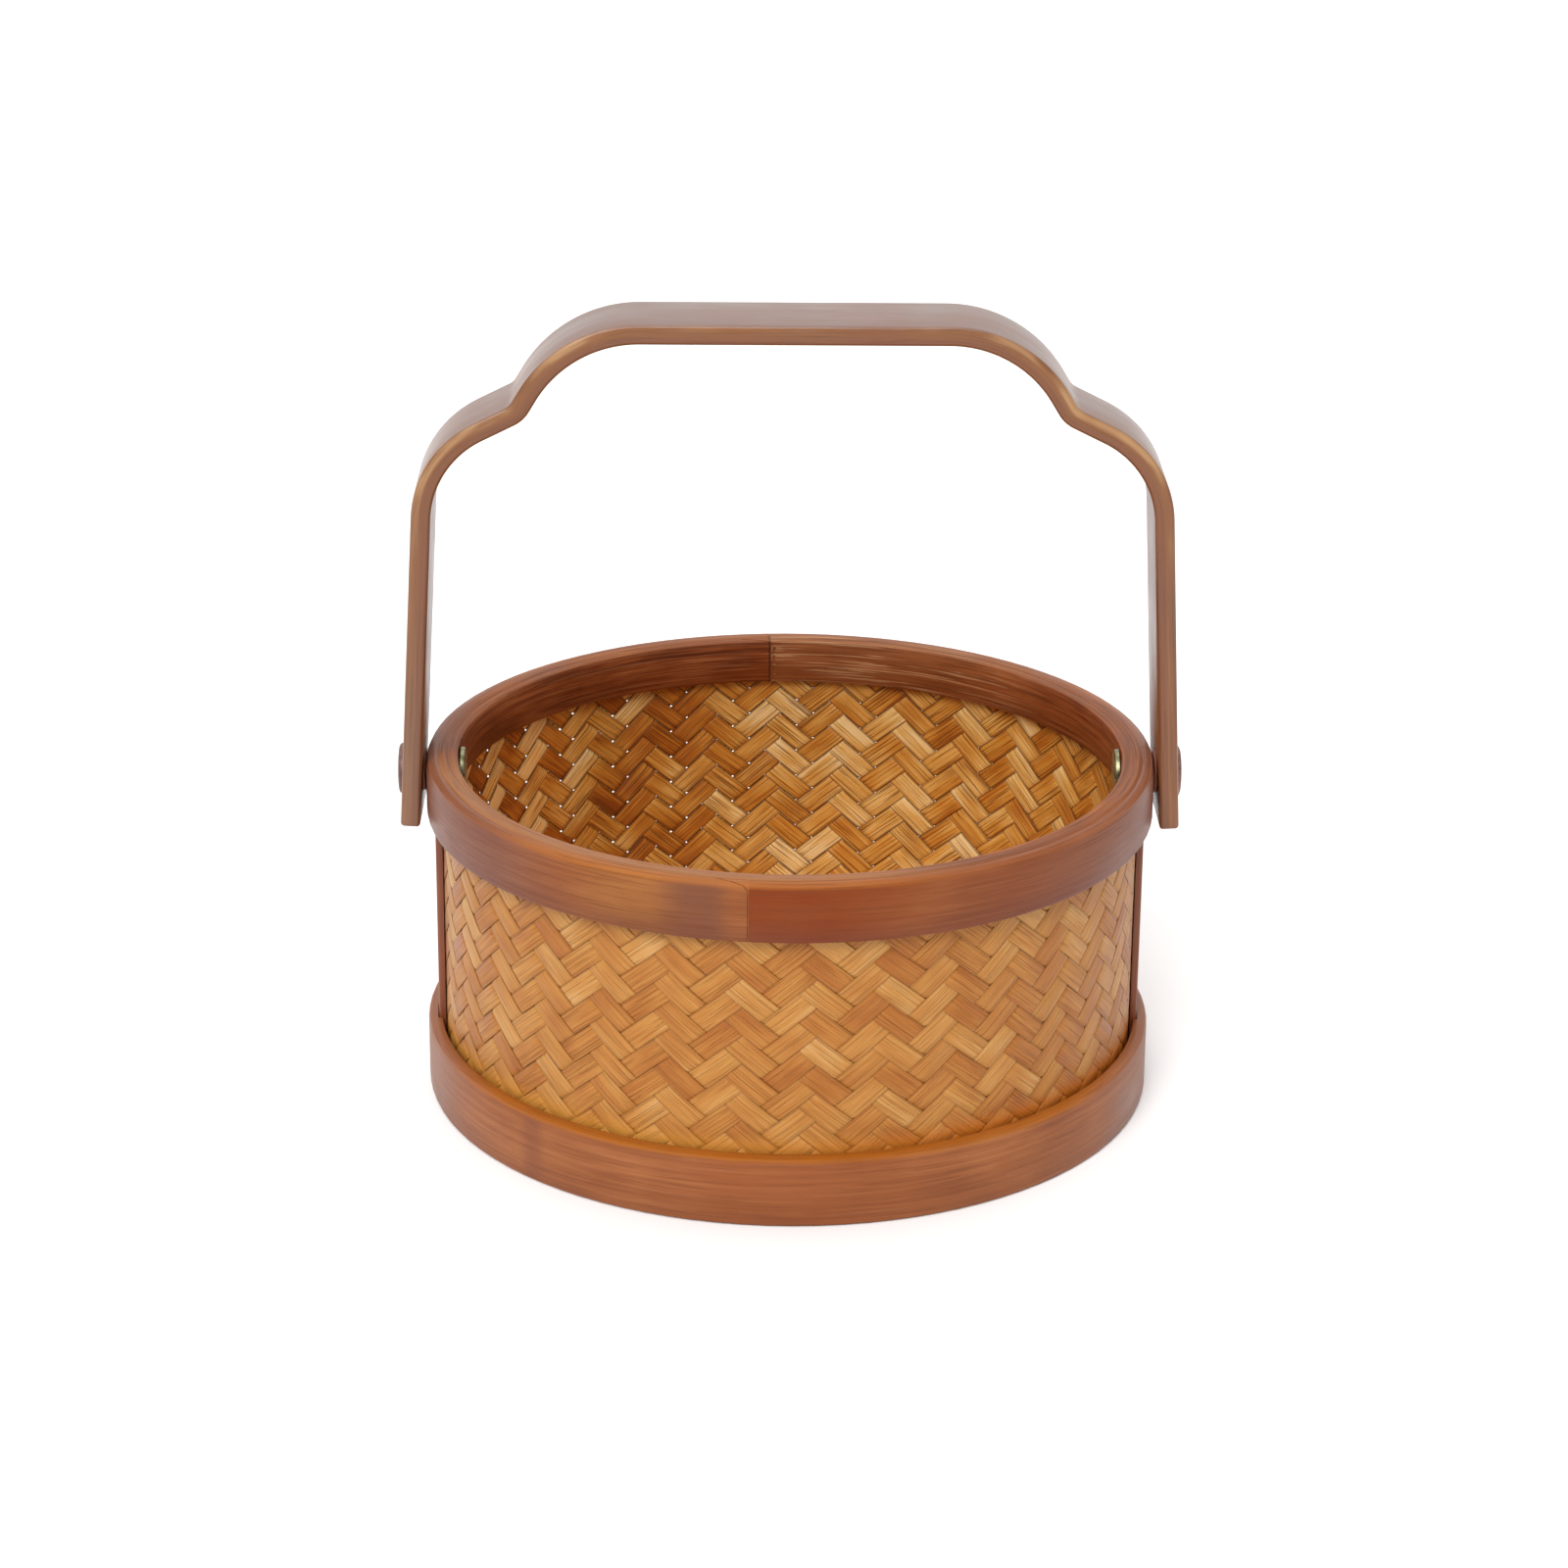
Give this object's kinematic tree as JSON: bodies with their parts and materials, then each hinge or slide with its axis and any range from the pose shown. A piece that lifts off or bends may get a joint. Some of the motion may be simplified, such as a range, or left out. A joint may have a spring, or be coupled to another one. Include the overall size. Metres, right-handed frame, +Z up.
{
  "type": "bamboo basket",
  "caption": "Round woven bamboo basket with bent bamboo hoops at its rim and foot, and a stepped bamboo handle that swings on screwed side pivots.",
  "frame": {"origin": "on the floor under the middle of the basket", "axes": "+Z up, -Y towards the front, the handle spans from -X to +X and its pivot axis is parallel to X"},
  "size_m": [0.2366, 0.2218, 0.2404],
  "materials": {
    "weave": "thin varnished bamboo strips, honey to orange brown",
    "hoop": "stained and varnished bamboo, reddish brown",
    "dark_hoop": "stained bamboo, dark brown",
    "slat": "plain bamboo, brown",
    "stile": "stained bamboo, dark maroon",
    "handle": "varnished bent bamboo, brown with a soft sheen",
    "cap": "dark bronzed metal, satin",
    "brass": "bare brass, slightly tarnished",
    "washer": "dark fibre washer"
  },
  "bodies": {
    "basket": {"wall_weave": "weave", "base_weave": "weave", "rim_hoop_outer": "hoop", "rim_hoop_inner": "dark_hoop", "foot_hoop_outer": "hoop", "foot_hoop_inner": "dark_hoop", "base_slat_x": "slat", "base_slat_y": "slat", "side_stile_left": "stile", "side_stile_right": "stile", "pivot_post_left": "cap", "pivot_post_right": "cap", "pivot_screw_left": "brass", "pivot_screw_right": "brass", "pivot_washer_left": "washer", "pivot_washer_right": "washer"},
    "handle": {"handle": "handle"}
  },
  "joints": [
    {"name": "handle_swing", "type": "hinge", "parent": "basket", "child": "handle", "pos_m": [0, 0, 0.0986], "axis": [1, 0, 0], "range_deg": [-118, 118]}
  ]
}
